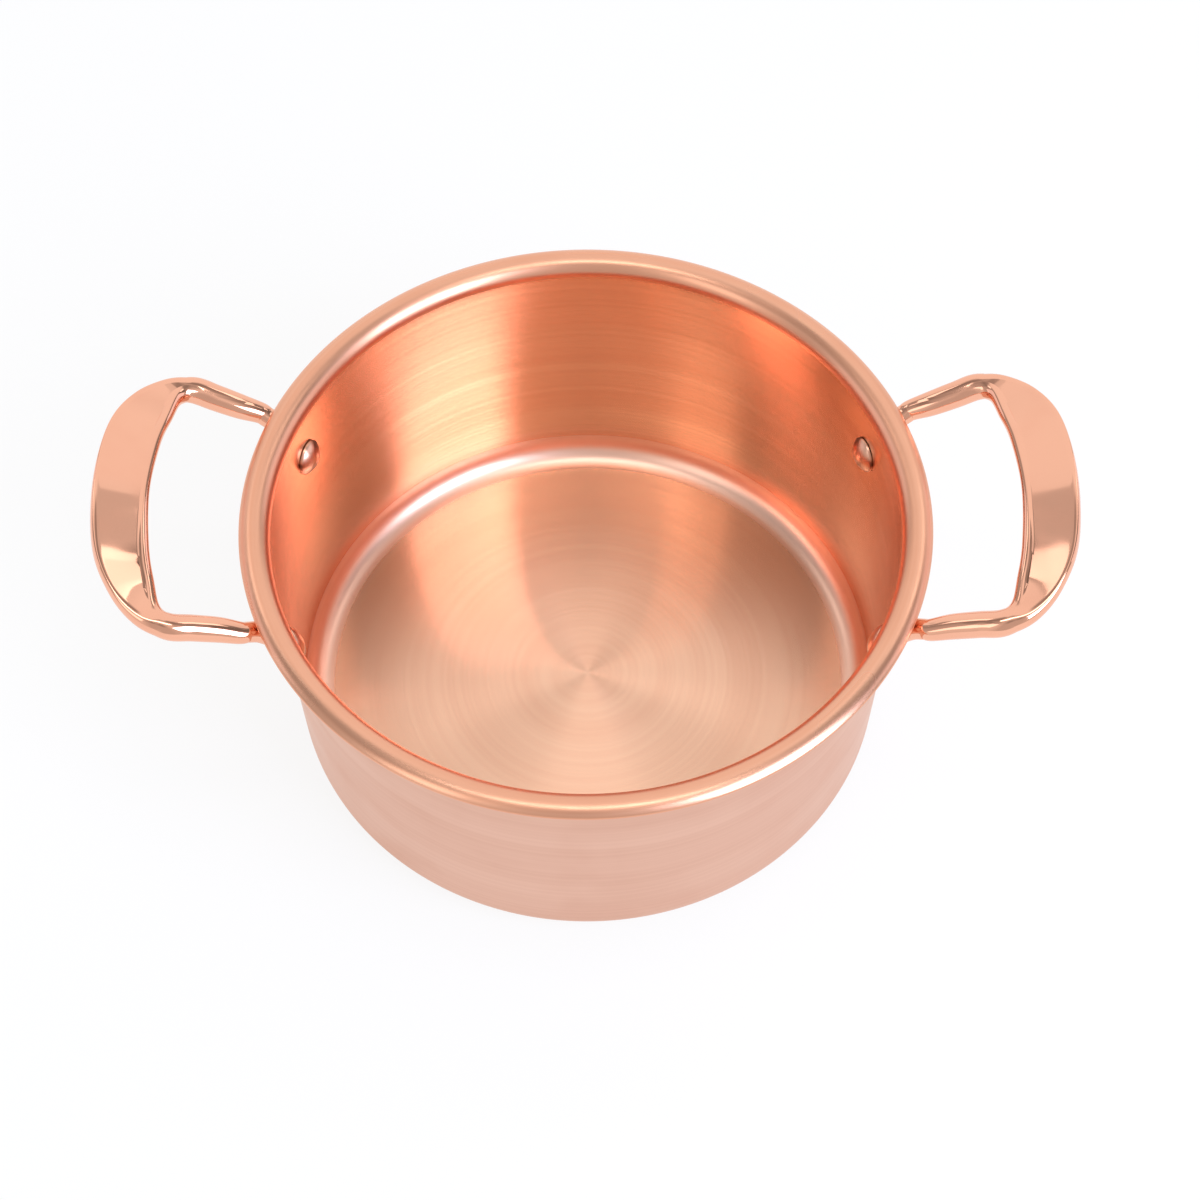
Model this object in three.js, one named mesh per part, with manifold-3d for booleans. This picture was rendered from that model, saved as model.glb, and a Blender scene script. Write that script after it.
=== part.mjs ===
// A two-handled copper pot, about 18 cm across the inside, in millimetres with +Z up.
// The origin is the middle of the base, on the surface that the pot stands on, and the handles lie along X.
// Seven pieces: one spun vessel, two forged loop handles and four solid rivets that clamp them together.

import * as THREE from "three";
import { mergeVertices } from "three/addons/utils/BufferGeometryUtils.js";
import Module from "manifold-3d";

// Vessel: one sheet of copper with a flat floor, a leaning wall and a lip turned outwards
const SHEET = 1.6; // thickness of the sheet
const RIM_RADIUS = 100; // outermost circle of the lip
const POT_HEIGHT = 91.4; // base to the crest of the lip
const WALL_LEAN = 2; // degrees that the wall leans outwards
const BASE_CORNER = 8; // inside radius between floor and wall
const LIP_BEND = 5; // radius of the lip's upper face
const LIP_DROP = 45; // degrees that the lip turns down past level

// Rivets: a domed head inside, a shank through the wall and the pad, and a formed head outside
const RIVET_ANGLE = 21.8; // degrees each side of the X axis
const RIVET_BELOW_RIM = 17.5; // below the outermost circle of the lip
const SHANK_RADIUS = 2.5;
const INNER_HEAD = { radius: 5.1, height: 2.4, rim: 0.5, gap: 0.25 };
const OUTER_HEAD = { radius: 4.6, height: 2.0, rim: 0.5, gap: 0.15 };
const HOLE_CLEARANCE = 0.15; // between a shank and its hole

// Handles: a round rod on each side, flattened to a riveted pad at the wall and to a broad strap at the grip
const ROD = 6.6; // diameter of the legs
const LEG_SPREAD = 41.5; // from the plane between the legs to the middle of a leg at the corner
const NECK_WIDTH = 6.2; // where a leg passes under the lip
const NECK_THICKNESS = 5.2;
const GRIP_REACH = 131.7; // pot axis to the middle of the strap
const GRIP_RISE = 14.6; // middle of the strap above the outermost circle of the lip
const GRIP_WIDTH = 16.2;
const GRIP_THICKNESS = 3.2;
const GRIP_FLARE = 20; // degrees that the strap's outer edge is raised
const PAD_WIDTH = 15;
const PAD_THICKNESS = 2.6;
const PAD_GAP = 0.3; // between a pad and the wall
const PAD_TOP = 12.6; // below the outermost circle of the lip, where the pad runs into the neck

// Fineness of the solids
const TURN_SEGMENTS = 64;
const CORNER_STEPS = 5;
const LIP_STEPS = 9;
const EDGE_STEPS = 4;
const RIVET_SEGMENTS = 20;
const DOME_STEPS = 4;
const RINGS_PER_STATION = 3;
const ROUND_END_STEPS = 5;

const rad = THREE.MathUtils.degToRad;
const wasm = await Module();
wasm.setup();

// Sizes worked out from the ones above
const wallHeading = rad(90 - WALL_LEAN);
const cornerMid = BASE_CORNER + SHEET / 2;
const lipMid = LIP_BEND - SHEET / 2;
const wallRise = POT_HEIGHT - LIP_BEND - SHEET / 2
  - cornerMid * (1 - Math.cos(wallHeading)) + lipMid * Math.cos(wallHeading);
const wallLength = wallRise / Math.sin(wallHeading);
const lipReach = lipMid * (Math.sin(wallHeading) + Math.sin(rad(LIP_DROP)));
const floorRadius = RIM_RADIUS - SHEET / 2 - lipReach
  - wallLength * Math.cos(wallHeading) - cornerMid * Math.sin(wallHeading);
const rimHeight = POT_HEIGHT - LIP_BEND + lipMid * Math.cos(rad(LIP_DROP));
const rivetHeight = rimHeight - RIVET_BELOW_RIM;

// Middle of the sheet from the pot's axis to the edge of the lip, as radius, height and heading
function sheetPath() {
  const path = [{ r: 0, z: SHEET / 2, heading: 0 }];
  const cornerCentre = { r: floorRadius, z: SHEET / 2 + cornerMid };
  for (let step = 0; step <= CORNER_STEPS; step += 1) {
    const heading = (wallHeading * step) / CORNER_STEPS;
    path.push({
      r: cornerCentre.r + cornerMid * Math.sin(heading),
      z: cornerCentre.z - cornerMid * Math.cos(heading),
      heading,
    });
  }
  const foot = path[path.length - 1];
  const wallTop = {
    r: foot.r + wallLength * Math.cos(wallHeading),
    z: foot.z + wallLength * Math.sin(wallHeading),
  };
  const lipCentre = {
    r: wallTop.r + lipMid * Math.sin(wallHeading),
    z: wallTop.z - lipMid * Math.cos(wallHeading),
  };
  for (let step = 0; step <= LIP_STEPS; step += 1) {
    const heading = THREE.MathUtils.lerp(wallHeading, -rad(LIP_DROP), step / LIP_STEPS);
    path.push({
      r: lipCentre.r - lipMid * Math.sin(heading),
      z: lipCentre.z + lipMid * Math.cos(heading),
      heading,
    });
  }
  return path;
}

// Point of the sheet's face, to the left of its heading for a positive offset
function offsetPoint({ r, z, heading }, offset) {
  return new THREE.Vector2(r - offset * Math.sin(heading), z + offset * Math.cos(heading));
}

// Outline of the vessel's section: outside face, rounded edge, then the inside face back to the axis
function vesselProfile() {
  const path = sheetPath();
  const outside = path.map((point) => offsetPoint(point, -SHEET / 2));
  const inside = path.map((point) => offsetPoint(point, SHEET / 2)).reverse();
  const end = path[path.length - 1];
  const edge = [];
  for (let step = 1; step < EDGE_STEPS; step += 1) {
    const angle = end.heading - Math.PI / 2 + (Math.PI * step) / EDGE_STEPS;
    edge.push(new THREE.Vector2(
      end.r + (SHEET / 2) * Math.cos(angle),
      end.z + (SHEET / 2) * Math.sin(angle),
    ));
  }
  return [...outside, ...edge, ...inside];
}

// Outside radius of the wall at a height on its straight stretch
function wallRadius(height) {
  const foot = offsetPoint(sheetPath()[CORNER_STEPS + 1], -SHEET / 2);
  return foot.x + (height - foot.y) / Math.tan(wallHeading);
}

// A closed mesh as a solid that can be cut, and back again
function toSolid(geometry) {
  const bare = new THREE.BufferGeometry();
  bare.setAttribute("position", geometry.getAttribute("position"));
  bare.setIndex(geometry.getIndex());
  const merged = mergeVertices(bare, 1e-4);
  return new wasm.Manifold(new wasm.Mesh({
    numProp: 3,
    vertProperties: new Float32Array(merged.getAttribute("position").array),
    triVerts: new Uint32Array(merged.getIndex().array),
  }));
}

function toGeometry(solid) {
  const { vertProperties, triVerts } = solid.getMesh();
  const geometry = new THREE.BufferGeometry();
  geometry.setAttribute("position", new THREE.BufferAttribute(vertProperties, 3));
  geometry.setIndex(new THREE.BufferAttribute(triVerts, 1));
  geometry.computeVertexNormals();
  return geometry;
}

// Place of a rivet: on the inside face of the wall, with local X along the wall's outward normal
function rivetMatrix(angle) {
  const insideRadius = wallRadius(rivetHeight) - SHEET / Math.cos(rad(WALL_LEAN));
  return new THREE.Matrix4()
    .makeRotationZ(rad(angle))
    .multiply(new THREE.Matrix4().makeTranslation(insideRadius, 0, rivetHeight))
    .multiply(new THREE.Matrix4().makeRotationY(rad(WALL_LEAN)));
}

// Cutter for a rivet hole, long enough to pass through the wall and the pad
function rivetHole(angle) {
  const reach = 2 * (SHEET + PAD_THICKNESS);
  const cutter = new THREE.CylinderGeometry(
    SHANK_RADIUS + HOLE_CLEARANCE, SHANK_RADIUS + HOLE_CLEARANCE, 2 * reach, RIVET_SEGMENTS,
  );
  cutter.rotateZ(-Math.PI / 2);
  cutter.applyMatrix4(rivetMatrix(angle));
  return toSolid(cutter);
}

const rivetAngles = {
  rivet_left_back: 180 - RIVET_ANGLE,
  rivet_left_front: 180 + RIVET_ANGLE,
  rivet_right_back: RIVET_ANGLE,
  rivet_right_front: -RIVET_ANGLE,
};

// The vessel, turned about its axis and drilled for the rivets
function vesselGeometry() {
  const turned = new THREE.LatheGeometry(vesselProfile(), TURN_SEGMENTS);
  turned.rotateX(Math.PI / 2);
  let solid = toSolid(turned);
  for (const angle of Object.values(rivetAngles)) {
    solid = solid.subtract(rivetHole(angle));
  }
  return toGeometry(solid);
}

// Half outline of a domed head, from its apex on the axis to its seat; side is -1 inwards and 1 outwards
function headOutline(head, seat, side) {
  const dome = head.height - head.rim;
  const sphere = (head.radius ** 2 + dome ** 2) / (2 * dome);
  const sweep = Math.asin(head.radius / sphere);
  const outline = [];
  for (let step = 0; step <= DOME_STEPS; step += 1) {
    const angle = (sweep * step) / DOME_STEPS;
    const above = head.height - sphere * (1 - Math.cos(angle));
    outline.push(new THREE.Vector2(sphere * Math.sin(angle), seat + side * above));
  }
  outline.push(new THREE.Vector2(head.radius, seat));
  outline.push(new THREE.Vector2(SHANK_RADIUS, seat));
  return outline;
}

// A rivet along local X, with the inside face of the wall at 0
function rivetGeometry() {
  const outerSeat = SHEET + PAD_GAP + PAD_THICKNESS + OUTER_HEAD.gap;
  const profile = [
    ...headOutline(INNER_HEAD, -INNER_HEAD.gap, -1),
    ...headOutline(OUTER_HEAD, outerSeat, 1).reverse(),
  ];
  const turned = new THREE.LatheGeometry(profile, RIVET_SEGMENTS);
  turned.rotateZ(-Math.PI / 2);
  return toGeometry(toSolid(turned));
}

// One station of a handle: where its middle is, and the width, thickness and flare of its section there
function station(x, y, z, width, thickness, flare) {
  return { place: new THREE.Vector3(x, y, z), section: new THREE.Vector3(width, thickness, flare) };
}

// A station in the upright plane through a rivet, by its distance from the pot's axis
function legStation(radius, z, width, thickness) {
  const angle = rad(RIVET_ANGLE);
  return station(radius * Math.cos(angle), radius * Math.sin(angle), z, width, thickness, 0);
}

// A station on the pad, which lies along the wall with a small gap
function padStation(z, width, thickness = PAD_THICKNESS) {
  const radius = wallRadius(z) + PAD_GAP + PAD_THICKNESS / 2;
  return legStation(radius, z, width, thickness);
}

// Stations from the middle of the grip to the foot of the pad, on the side of positive Y
function halfHandle() {
  const rim = rimHeight;
  const grip = rim + GRIP_RISE;
  const padRound = PAD_WIDTH / 2;
  return [
    // Strap, from the middle of the grip to its end
    station(GRIP_REACH, 0, grip, GRIP_WIDTH, GRIP_THICKNESS, GRIP_FLARE),
    station(GRIP_REACH - 1.4, 19, grip - 1.8, GRIP_WIDTH - 0.2, GRIP_THICKNESS, GRIP_FLARE),
    station(GRIP_REACH - 5, 30.8, grip - 4.6, GRIP_WIDTH - 2.6, GRIP_THICKNESS, GRIP_FLARE + 2),
    // Corner, where the strap narrows and thickens to the round leg
    station(GRIP_REACH - 9.6, LEG_SPREAD - 2.9, rim + 7.4, ROD + 2.6, ROD - 1.6, GRIP_FLARE + 4),
    station(GRIP_REACH - 15.4, LEG_SPREAD, rim + 5.5, ROD, ROD, GRIP_FLARE),
    // Leg, sloping down towards the lip
    station(GRIP_REACH - 22, LEG_SPREAD - 1, rim + 3.6, ROD, ROD, GRIP_FLARE),
    station(GRIP_REACH - 28.8, LEG_SPREAD - 2.1, rim + 1.8, ROD, ROD - 0.6, GRIP_FLARE / 2),
    // Neck, bending under the lip and flattening on its way to the wall
    legStation(RIM_RADIUS + 4.7, rim + 0.2, NECK_WIDTH, NECK_THICKNESS + 0.2),
    legStation(RIM_RADIUS + 2.5, rim - 2.6, NECK_WIDTH, NECK_THICKNESS),
    legStation(RIM_RADIUS - 0.6, rim - 5.6, NECK_WIDTH + 0.4, NECK_THICKNESS - 0.2),
    legStation(RIM_RADIUS - 3.6, rim - 8.8, NECK_WIDTH + 2, NECK_THICKNESS - 1.2),
    // Pad against the wall, with a round foot about the rivet
    padStation(rim - PAD_TOP, PAD_WIDTH - 3),
    padStation(rivetHeight + 1, PAD_WIDTH),
    padStation(rivetHeight - padRound / 2, 2 * padRound * Math.cos(Math.PI / 6)),
    padStation(rivetHeight - padRound * 0.86, padRound),
    padStation(rivetHeight - padRound, PAD_THICKNESS / 2, PAD_THICKNESS / 2),
  ];
}

// The whole handle's stations, from one pad over the grip to the other
function handleStations() {
  const half = halfHandle();
  const mirrored = half.slice(1).reverse().map(({ place, section }) => ({
    place: new THREE.Vector3(place.x, -place.y, place.z),
    section: section.clone(),
  }));
  return [...mirrored, ...half];
}

// A section with round ends: offsets along its width and its thickness
function sectionOutline(width, thickness) {
  const end = thickness / 2;
  const straight = Math.max(width / 2 - end, 0);
  const outline = [];
  for (const side of [1, -1]) {
    for (let step = 0; step <= ROUND_END_STEPS; step += 1) {
      const angle = -Math.PI / 2 + (Math.PI * step) / ROUND_END_STEPS;
      outline.push([side * (straight + end * Math.cos(angle)), side * end * Math.sin(angle)]);
    }
  }
  return outline;
}

// Level direction into the loop, square to the path; on a steep stretch it runs along the wall instead
function loopInward(place, tangent) {
  const level = new THREE.Vector3(-tangent.y, tangent.x, 0);
  const steepest = 0.5;
  if (level.length() > steepest) {
    return level.normalize();
  }
  const side = Math.sign(place.y);
  const angle = rad(RIVET_ANGLE);
  return new THREE.Vector3(Math.sin(angle), -side * Math.cos(angle), 0);
}

// A handle as one closed skin of rings along its path
function handleSkin() {
  const stations = handleStations();
  const path = new THREE.CatmullRomCurve3(stations.map((s) => s.place), false, "catmullrom");
  const sections = new THREE.CatmullRomCurve3(stations.map((s) => s.section), false, "catmullrom");
  const rings = (stations.length - 1) * RINGS_PER_STATION;
  const positions = [];
  for (let ring = 0; ring <= rings; ring += 1) {
    const t = ring / rings;
    const place = path.getPoint(t);
    const tangent = path.getTangent(t);
    const [width, thickness, flare] = sections.getPoint(t).toArray();
    const inward = loopInward(place, tangent);
    const upward = new THREE.Vector3().crossVectors(tangent, inward).normalize();
    const tilt = rad(flare);
    const along = upward.clone().multiplyScalar(Math.sin(tilt)).addScaledVector(inward, -Math.cos(tilt));
    const across = inward.clone().multiplyScalar(Math.sin(tilt)).addScaledVector(upward, Math.cos(tilt));
    for (const [a, b] of sectionOutline(width, thickness)) {
      const point = place.clone().addScaledVector(along, a).addScaledVector(across, b);
      positions.push(point.x, point.y, point.z);
    }
  }
  return closedSkin(positions, rings + 1);
}

// Rings of equal counts joined by faces, with the first and last ring filled
function closedSkin(positions, ringCount) {
  const count = positions.length / 3 / ringCount;
  const index = [];
  for (let ring = 0; ring + 1 < ringCount; ring += 1) {
    for (let side = 0; side < count; side += 1) {
      const a = ring * count + side;
      const b = ring * count + ((side + 1) % count);
      index.push(a, b + count, b, a, a + count, b + count);
    }
  }
  const last = (ringCount - 1) * count;
  for (let side = 1; side + 1 < count; side += 1) {
    index.push(0, side, side + 1);
    index.push(last, last + side + 1, last + side);
  }
  const skin = new THREE.BufferGeometry();
  skin.setAttribute("position", new THREE.Float32BufferAttribute(positions, 3));
  skin.setIndex(index);
  return skin;
}

// The right-hand handle, with both pads drilled
function handleGeometry() {
  let solid = toSolid(handleSkin());
  for (const angle of [RIVET_ANGLE, -RIVET_ANGLE]) {
    solid = solid.subtract(rivetHole(angle));
  }
  return toGeometry(solid);
}

// Finishes
const spunCopper = new THREE.MeshStandardMaterial({ color: 0xe0a284, roughness: 0.32, metalness: 1 });
const polishedCopper = new THREE.MeshStandardMaterial({ color: 0xecb096, roughness: 0.1, metalness: 1 });

const pot = new THREE.Group();

function addPiece(name, geometry, material) {
  const piece = new THREE.Mesh(geometry, material);
  piece.name = name;
  pot.add(piece);
  return piece;
}

addPiece("pot_body", vesselGeometry(), spunCopper);
addPiece("handle_right", handleGeometry(), polishedCopper);
addPiece("handle_left", handleGeometry(), polishedCopper).rotation.z = Math.PI;
for (const [name, angle] of Object.entries(rivetAngles)) {
  addPiece(name, rivetGeometry(), polishedCopper).applyMatrix4(rivetMatrix(angle));
}

export default pot;
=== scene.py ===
"""A two-handled copper pot, dressed for its studio picture.

The pot is one spun vessel, two loop handles and four rivets. Lengths are in metres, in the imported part's own
frame: +Z is up, the handles lie along X, and the origin is the middle of the base.
"""

from __future__ import annotations

import logging
import math
from dataclasses import dataclass
from enum import Enum

import bpy
import numpy as np
from mathutils import Matrix, Vector

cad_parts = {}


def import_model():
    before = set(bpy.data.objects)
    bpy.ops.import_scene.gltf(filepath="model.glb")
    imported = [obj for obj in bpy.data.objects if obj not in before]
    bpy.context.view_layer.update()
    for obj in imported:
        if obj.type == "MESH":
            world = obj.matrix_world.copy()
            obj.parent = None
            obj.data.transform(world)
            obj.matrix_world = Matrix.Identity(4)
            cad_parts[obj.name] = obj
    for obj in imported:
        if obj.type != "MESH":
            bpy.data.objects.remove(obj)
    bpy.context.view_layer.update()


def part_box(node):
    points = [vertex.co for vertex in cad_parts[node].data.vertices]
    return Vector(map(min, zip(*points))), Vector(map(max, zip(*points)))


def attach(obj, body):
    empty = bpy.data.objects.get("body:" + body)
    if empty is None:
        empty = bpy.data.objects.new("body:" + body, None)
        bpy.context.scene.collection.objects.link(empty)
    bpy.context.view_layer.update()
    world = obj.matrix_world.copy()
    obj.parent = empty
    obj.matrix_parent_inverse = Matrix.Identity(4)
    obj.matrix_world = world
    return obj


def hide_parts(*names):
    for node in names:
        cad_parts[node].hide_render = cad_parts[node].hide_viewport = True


LOG = logging.getLogger("copper_pot")
MM = 0.001
BODY = "root"
SHARP_ANGLE = math.radians(42)

Colour = tuple[float, float, float, float]
Tones = tuple[tuple[float, float], ...]
Node = bpy.types.Node
Socket = bpy.types.NodeSocket


class Side(Enum):
    """The side of the pot that a handle sits on, as its turn about Z."""

    RIGHT = 0.0
    LEFT = math.pi


class Row(Enum):
    """The rivets nearer to the viewer or further back, as the sign of Y on the right side."""

    BACK = 1
    FRONT = -1


class Zone(Enum):
    """A part of the vessel with a finish of its own, as the place of its material. The zones' colours also
    differ as painted shade and a painted highlight.
    """

    WALL = 0
    LIP = 1
    OUTSIDE = 2
    CORNER = 3
    FLOOR = 4


# Mesh helpers


def new_piece(name: str, vertices: np.ndarray, faces: list[tuple[int, ...]]) -> bpy.types.Object:
    """Makes a mesh object with smooth faces and puts it in the scene.

    Args:
        name: Name of the object and its mesh.
        vertices: Rows of X, Y and Z.
        faces: Vertex numbers of each face, anticlockwise from outside.

    Returns:
        The new object.
    """
    mesh = bpy.data.meshes.new(name)
    mesh.from_pydata([tuple(map(float, row)) for row in vertices], [], faces)
    mesh.validate()
    piece = bpy.data.objects.new(name, mesh)
    bpy.context.scene.collection.objects.link(piece)
    soften(piece)
    return piece


def soften(piece: bpy.types.Object) -> None:
    """Shades a piece smoothly, apart from its sharp edges."""
    piece.data.shade_smooth()
    piece.data.set_sharp_from_angle(angle=SHARP_ANGLE)


def revolve(outline: np.ndarray, columns: int) -> tuple[np.ndarray, list[tuple[int, ...]]]:
    """Turns an outline about Z into a closed skin.

    Args:
        outline: Rows of radius and height, the first and last on the axis and the outside face first.
        columns: Number of columns round the axis.

    Returns:
        The vertices and the faces.
    """
    angles = np.linspace(0, 2 * math.pi, columns, endpoint=False)
    rings = outline[1:-1]
    turned = np.stack(
        [
            np.outer(rings[:, 0], np.cos(angles)),
            np.outer(rings[:, 0], np.sin(angles)),
            np.repeat(rings[:, 1:2], columns, axis=1),
        ],
        axis=-1,
    ).reshape(-1, 3)
    poles = np.array([[0, 0, outline[0, 1]], [0, 0, outline[-1, 1]]])
    vertices = np.vstack([turned, poles])
    first_pole, last_pole = len(turned), len(turned) + 1
    last_ring = (len(rings) - 1) * columns
    faces: list[tuple[int, ...]] = []
    for column in range(columns):
        after = (column + 1) % columns
        faces.append((first_pole, after, column))
        for ring in range(0, last_ring, columns):
            faces.append((ring + column, ring + after, ring + columns + after, ring + columns + column))
        faces.append((last_ring + column, last_ring + after, last_pole))
    return vertices, faces


def loft(rings: np.ndarray) -> tuple[np.ndarray, list[tuple[int, ...]]]:
    """Joins rings of equal counts into a closed skin with flat ends.

    Args:
        rings: Points by ring, place in the ring, and axis.

    Returns:
        The vertices and the faces.
    """
    count, size = rings.shape[:2]
    faces: list[tuple[int, ...]] = []
    for ring in range(0, (count - 1) * size, size):
        for place in range(size):
            after = (place + 1) % size
            faces.append((ring + place, ring + size + place, ring + size + after, ring + after))
    last = (count - 1) * size
    faces.append(tuple(range(size)))
    faces.append(tuple(range(last + size - 1, last - 1, -1)))
    return rings.reshape(-1, 3), faces


def catmull_rom(points: np.ndarray, steps: int) -> tuple[np.ndarray, np.ndarray]:
    """Runs a smooth curve through points.

    Args:
        points: One row for each point.
        steps: Steps in each gap between two points.

    Returns:
        The places along the curve, and its slopes there.
    """
    padded = np.vstack([2 * points[0] - points[1], points, 2 * points[-1] - points[-2]])
    gaps = len(points) - 1
    places, slopes = [], []
    for step in range(gaps * steps + 1):
        gap = min(step // steps, gaps - 1)
        s = step / steps - gap
        before, start, end, after = padded[gap : gap + 4]
        leaving, arriving = (end - before) / 2, (after - start) / 2
        places.append(
            (2 * s**3 - 3 * s**2 + 1) * start
            + (s**3 - 2 * s**2 + s) * leaving
            + (3 * s**2 - 2 * s**3) * end
            + (s**3 - s**2) * arriving
        )
        slopes.append(
            (6 * s**2 - 6 * s) * (start - end)
            + (3 * s**2 - 4 * s + 1) * leaving
            + (3 * s**2 - 2 * s) * arriving
        )
    return np.array(places), np.array(slopes)


def drill(piece: bpy.types.Object, cutters: list[bpy.types.Object]) -> None:
    """Cuts solids out of a piece and removes them.

    Args:
        piece: The piece that is cut.
        cutters: Closed solids in the same frame.
    """
    for cutter in cutters:
        cut = piece.modifiers.new("hole", "BOOLEAN")
        cut.operation = "DIFFERENCE"
        cut.solver = "EXACT"
        cut.object = cutter
    evaluated = piece.evaluated_get(bpy.context.evaluated_depsgraph_get())
    mesh = bpy.data.meshes.new_from_object(evaluated)
    piece.modifiers.clear()
    whole = piece.data
    piece.data = mesh
    bpy.data.meshes.remove(whole)
    mesh.name = piece.name
    for cutter in cutters:
        bpy.data.objects.remove(cutter)
    soften(piece)


# The vessel


@dataclass
class Vessel:
    """The spun pot: a flat floor, a leaning wall and a lip turned outwards, in one sheet.

    Attributes:
        rim_radius: Outermost circle of the lip.
        height: Base to the crest of the lip.
        sheet: Thickness of the sheet.
        lean: Angle that the wall leans outwards.
        corner: Inside radius between floor and wall.
        lip_bend: Radius of the lip's upper face.
        lip_drop: Angle that the lip turns down past level.
        columns: Columns of faces round the axis.
        floor_rings: Rings of faces on the floor.
        corner_steps: Steps round the floor's corner.
        wall_rings: Rings of faces on the wall.
        lip_steps: Steps round the lip.
        edge_steps: Steps round the lip's free edge.
    """

    rim_radius: float
    height: float
    sheet: float = 1.6 * MM
    lean: float = math.radians(2)
    corner: float = 8 * MM
    lip_bend: float = 5 * MM
    lip_drop: float = math.radians(45)
    columns: int = 288
    floor_rings: int = 24
    corner_steps: int = 14
    wall_rings: int = 36
    lip_steps: int = 28
    edge_steps: int = 10

    @classmethod
    def from_frame(cls) -> Vessel:
        """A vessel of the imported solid's radius and height."""
        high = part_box("pot_body")[1]
        return cls(rim_radius=high.y, height=high.z)

    @property
    def heading(self) -> float:
        """Direction of the wall's section, up from level."""
        return math.pi / 2 - self.lean

    @property
    def corner_mid(self) -> float:
        """Radius of the sheet's middle at the floor's corner."""
        return self.corner + self.sheet / 2

    @property
    def lip_mid(self) -> float:
        """Radius of the sheet's middle at the lip."""
        return self.lip_bend - self.sheet / 2

    @property
    def wall_length(self) -> float:
        """Length of the straight wall.

        Returns:
            The length along its slope.
        """
        rise = self.height - self.lip_bend - self.sheet / 2
        rise -= self.corner_mid * (1 - math.cos(self.heading))
        rise += self.lip_mid * math.cos(self.heading)
        return rise / math.sin(self.heading)

    @property
    def floor_radius(self) -> float:
        """Radius of the flat floor.

        Returns:
            The radius where the corner starts.
        """
        lip_reach = self.lip_mid * (math.sin(self.heading) + math.sin(self.lip_drop))
        wall_reach = self.wall_length * math.cos(self.heading)
        corner_reach = self.corner_mid * math.sin(self.heading)
        return self.rim_radius - self.sheet / 2 - lip_reach - wall_reach - corner_reach

    @property
    def rim_height(self) -> float:
        """Height of the lip's outermost circle."""
        return self.height - self.lip_bend + self.lip_mid * math.cos(self.lip_drop)

    def path(self) -> np.ndarray:
        """Middle of the sheet from the axis to the edge of the lip.

        Returns:
            Rows of radius, height and heading.
        """
        floor = []
        for ring in range(self.floor_rings):
            floor.append((self.floor_radius * ring / self.floor_rings, self.sheet / 2, 0.0))
        corner = []
        for heading in np.linspace(0, self.heading, self.corner_steps + 1):
            radius = self.floor_radius + self.corner_mid * math.sin(heading)
            height = self.sheet / 2 + self.corner_mid * (1 - math.cos(heading))
            corner.append((radius, height, heading))
        foot = np.array(corner[-1])
        run = np.array([math.cos(self.heading), math.sin(self.heading), 0]) * self.wall_length
        wall = [foot + run * ring / self.wall_rings for ring in range(1, self.wall_rings)]
        top = foot + run
        lip = []
        for heading in np.linspace(self.heading, -self.lip_drop, self.lip_steps + 1):
            radius = top[0] + self.lip_mid * (math.sin(self.heading) - math.sin(heading))
            height = top[1] + self.lip_mid * (math.cos(heading) - math.cos(self.heading))
            lip.append((radius, height, heading))
        return np.vstack([floor, corner, wall, lip])

    def outline(self) -> np.ndarray:
        """Section of the vessel: the outside face, the round edge, then the inside face.

        Returns:
            Rows of radius and height, from the axis and back to it.
        """
        path = self.path()
        aside = np.stack([-np.sin(path[:, 2]), np.cos(path[:, 2])], axis=1) * self.sheet / 2
        outside, inside = path[:, :2] - aside, path[:, :2] + aside
        turn = path[-1, 2] - math.pi / 2 + math.pi * np.arange(1, self.edge_steps) / self.edge_steps
        edge = path[-1, :2] + np.stack([np.cos(turn), np.sin(turn)], axis=1) * self.sheet / 2
        return np.vstack([outside, edge, inside[::-1]])

    def wall_radius(self, height: float) -> float:
        """Outside radius of the wall at a height on its straight stretch.

        Args:
            height: The height over the base.

        Returns:
            The radius.
        """
        outer_bend = self.corner_mid + self.sheet / 2
        foot_radius = self.floor_radius + outer_bend * math.sin(self.heading)
        foot_height = self.sheet / 2 + self.corner_mid - outer_bend * math.cos(self.heading)
        return foot_radius + (height - foot_height) / math.tan(self.heading)

    def build(self, rivets: RivetSet, finishes: dict[Zone, CopperFinish]) -> bpy.types.Object:
        """Makes the drilled vessel with its finishes.

        Args:
            rivets: The rivets that pass through the wall.
            finishes: The finish of each zone.

        Returns:
            The vessel.
        """
        piece = new_piece("spun_vessel", *revolve(self.outline(), self.columns))
        drill(piece, rivets.cutters(rivets.angles()))
        for zone in Zone:
            piece.data.materials.append(finishes[zone].material())
        self.share_faces(piece.data)
        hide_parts("pot_body")
        return piece

    def share_faces(self, mesh: bpy.types.Mesh) -> None:
        """Gives each face the finish of its zone.

        Args:
            mesh: The vessel's mesh, with the materials in the zones' order.
        """
        wall_top = self.height - self.lip_bend
        corner_top = self.sheet + self.corner * (1 - math.cos(self.heading))
        middle = self.wall_radius(wall_top) - self.sheet / 2
        level = 0.5
        for face in mesh.polygons:
            radius = math.hypot(face.center.x, face.center.y)
            outward = face.normal.x * face.center.x + face.normal.y * face.center.y > 0
            if face.center.z > wall_top or radius > middle + self.sheet:
                zone = Zone.LIP
            elif face.normal.z < -level or (outward and face.normal.z < level):
                zone = Zone.OUTSIDE
            elif face.center.z < corner_top:
                zone = Zone.CORNER if radius > self.floor_radius else Zone.FLOOR
            else:
                zone = Zone.WALL
            face.material_index = zone.value


# The rivets


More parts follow.
